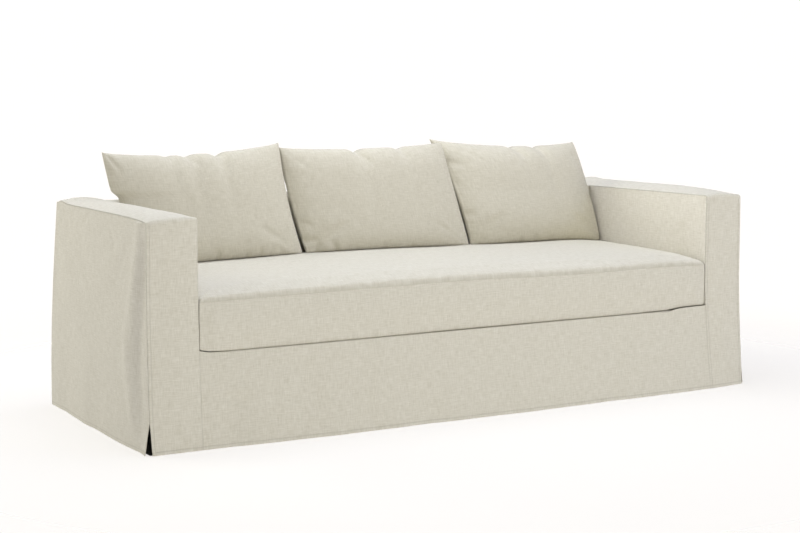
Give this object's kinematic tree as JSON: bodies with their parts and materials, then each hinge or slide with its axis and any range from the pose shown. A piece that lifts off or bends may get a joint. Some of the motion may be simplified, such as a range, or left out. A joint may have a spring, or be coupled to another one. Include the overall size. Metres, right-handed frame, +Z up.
{
  "type": "sofa slipcover",
  "caption": "Fitted linen slipcover for a track-arm sofa: hollow skirted body with corner vents, covered bench seat cushion and knife-edge back cushions.",
  "frame": {"origin": "on the floor, under the middle of the cover's bounding box", "axes": "+X to the right along the seat as seen from the front, +Y from the front to the back, +Z up"},
  "size_m": [2.3682, 0.9604, 0.8982],
  "materials": {
    "linen": "matt slubby plain-weave linen, oatmeal cream",
    "cushion_linen": "the same linen, filled and slightly crumpled at the seams",
    "deck_cloth": "plain flat lining cloth"
  },
  "bodies": {
    "root": {"arm_left_band": "linen", "arm_left_outer": "linen", "arm_left_inner": "linen", "arm_right_band": "linen", "arm_right_outer": "linen", "arm_right_inner": "linen", "front_skirt": "linen", "seat_deck": "deck_cloth", "back_inner": "linen", "back_top": "linen", "back_outer": "linen", "seat_cushion": "cushion_linen", "back_cushion_left": "cushion_linen", "back_cushion_middle": "cushion_linen", "back_cushion_right": "cushion_linen"}
  },
  "joints": []
}
